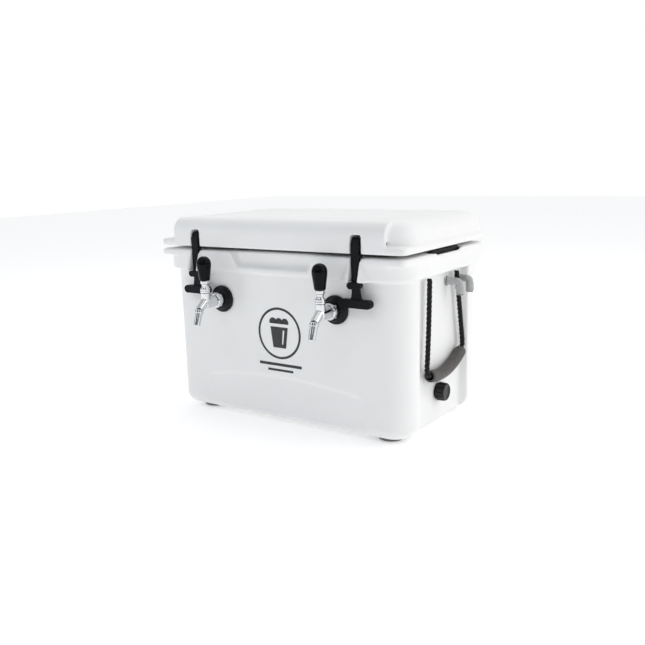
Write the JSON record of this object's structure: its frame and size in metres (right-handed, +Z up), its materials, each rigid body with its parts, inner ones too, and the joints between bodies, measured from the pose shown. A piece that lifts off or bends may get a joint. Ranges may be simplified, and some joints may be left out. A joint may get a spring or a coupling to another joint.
{
  "type": "jockey box",
  "caption": "White rotomoulded ice chest with chrome beer taps, stainless cooling coils, rubber latches, rope handles, hose elbows and a drain.",
  "frame": {"origin": "middle of the bounding box in plan, on the floor the feet stand on", "axes": "+X to the right as one faces the taps, -Y the tap side, +Z up"},
  "size_m": [0.5728, 0.4343, 0.4],
  "materials": {
    "white_shell": "satin",
    "insulation": "matte",
    "black_rubber": "matte",
    "black_plastic": "satin",
    "grey_plastic": "satin",
    "dark_grip": "matte",
    "black_rope": "matte",
    "chrome": "polished",
    "stainless": "satin",
    "brass": "satin",
    "clear_tube": "satin",
    "gasket_foam": "matte",
    "foot_rubber": "matte"
  },
  "bodies": {
    "tub": {"body_shell": "white_shell", "body_foam": "insulation", "body_fill_plug": "white_shell", "drain_spigot": "black_plastic", "drain_nut": "black_plastic", "front_left_foot": "foot_rubber", "front_right_foot": "foot_rubber", "rear_left_foot": "foot_rubber", "rear_right_foot": "foot_rubber", "left_hinge_rod": "stainless", "left_wall_flange": "black_plastic", "left_shank": "chrome", "left_shank_nut": "brass", "left_coupling_nut": "chrome", "left_tap_body": "chrome", "left_spout": "chrome", "left_bonnet": "chrome", "left_coil_connector": "grey_plastic", "left_coil": "stainless", "left_inlet_tube": "clear_tube", "left_rope_bridge": "black_rope", "right_hinge_rod": "stainless", "right_wall_flange": "black_plastic", "right_shank": "chrome", "right_shank_nut": "brass", "right_coupling_nut": "chrome", "right_tap_body": "chrome", "right_spout": "chrome", "right_bonnet": "chrome", "right_coil_connector": "grey_plastic", "right_coil": "stainless", "right_inlet_tube": "clear_tube", "right_rope_bridge": "black_rope", "front_inlet_stem": "grey_plastic", "front_inlet_nut": "grey_plastic", "rear_inlet_stem": "grey_plastic", "rear_inlet_nut": "grey_plastic"},
    "lid": {"lid_shell": "white_shell", "lid_foam": "insulation", "lid_fill_plug": "white_shell", "lid_gasket": "gasket_foam", "left_latch_pin": "stainless", "right_latch_pin": "stainless"},
    "drain_seal_disc": {"drain_seal": "black_rubber"},
    "drain_cap_turn": {"drain_cap": "black_plastic"},
    "left_latch_strap": {"left_latch": "black_rubber"},
    "left_tap_lever": {"left_lever": "chrome", "left_tap_handle": "black_plastic"},
    "left_tap_shuttle": {"left_shuttle": "stainless"},
    "left_carry_handle": {"left_handle_rope": "black_rope", "left_handle_grip": "dark_grip"},
    "right_latch_strap": {"right_latch": "black_rubber"},
    "right_tap_lever": {"right_lever": "chrome", "right_tap_handle": "black_plastic"},
    "right_tap_shuttle": {"right_shuttle": "stainless"},
    "right_carry_handle": {"right_handle_rope": "black_rope", "right_handle_grip": "dark_grip"},
    "front_elbow_turn": {"front_inlet_elbow": "grey_plastic"},
    "rear_elbow_turn": {"rear_inlet_elbow": "grey_plastic"}
  },
  "joints": [
    {"name": "lid_hinge", "type": "hinge", "parent": "tub", "child": "lid", "pos_m": [-0.0064, 0.2087, 0.3415], "axis": [-1, 0, 0], "range_deg": [0, 97]},
    {"name": "left_latch_swing", "type": "hinge", "parent": "lid", "child": "left_latch_strap", "pos_m": [-0.1914, -0.1383, 0.3635], "axis": [-1, 0, 0], "range_deg": [0, 100], "deforming": ["left_latch"]},
    {"name": "left_tap_pull", "type": "hinge", "parent": "tub", "child": "left_tap_lever", "pos_m": [-0.1399, -0.1818, 0.268], "axis": [1, 0, 0], "range_deg": [0, 20]},
    {"name": "left_shuttle_slide", "type": "slide", "parent": "tub", "child": "left_tap_shuttle", "axis": [0, 1, 0], "range_m": [0, 0.0077]},
    {"name": "left_handle_swing", "type": "hinge", "parent": "tub", "child": "left_carry_handle", "pos_m": [-0.2744, 0.0247, 0.2912], "axis": [0, 1, 0], "range_deg": [0, 85]},
    {"name": "right_latch_swing", "type": "hinge", "parent": "lid", "child": "right_latch_strap", "pos_m": [0.1786, -0.1383, 0.3635], "axis": [-1, 0, 0], "range_deg": [0, 100], "deforming": ["right_latch"]},
    {"name": "right_tap_pull", "type": "hinge", "parent": "tub", "child": "right_tap_lever", "pos_m": [0.1271, -0.1818, 0.268], "axis": [1, 0, 0], "range_deg": [0, 20]},
    {"name": "right_shuttle_slide", "type": "slide", "parent": "tub", "child": "right_tap_shuttle", "axis": [0, 1, 0], "range_m": [0, 0.0077]},
    {"name": "right_handle_swing", "type": "hinge", "parent": "tub", "child": "right_carry_handle", "pos_m": [0.2616, 0.0247, 0.2912], "axis": [0, -1, 0], "range_deg": [0, 85]},
    {"name": "front_elbow_swivel", "type": "hinge", "parent": "tub", "child": "front_elbow_turn", "pos_m": [0.2496, 0.0607, 0.275], "axis": [1, 0, 0], "range_deg": [-90, 30]},
    {"name": "rear_elbow_swivel", "type": "hinge", "parent": "tub", "child": "rear_elbow_turn", "pos_m": [0.2496, 0.1057, 0.275], "axis": [1, 0, 0], "range_deg": [0, 90]},
    {"name": "drain_seal_slide", "type": "slide", "parent": "tub", "child": "drain_seal_disc", "axis": [1, 0, 0], "range_m": [0, 0.008]},
    {"name": "drain_cap_screw", "type": "hinge", "parent": "drain_seal_disc", "child": "drain_cap_turn", "pos_m": [0.2496, 0.0247, 0.068], "axis": [1, 0, 0], "range_deg": [0, 720]}
  ],
  "couplings": [
    {"joint": "left_shuttle_slide", "follows": "left_tap_pull", "m_per_rad": 0.0215},
    {"joint": "right_shuttle_slide", "follows": "right_tap_pull", "m_per_rad": 0.0215},
    {"joint": "drain_seal_slide", "follows": "drain_cap_screw", "m_per_rad": 0.0006366}
  ]
}
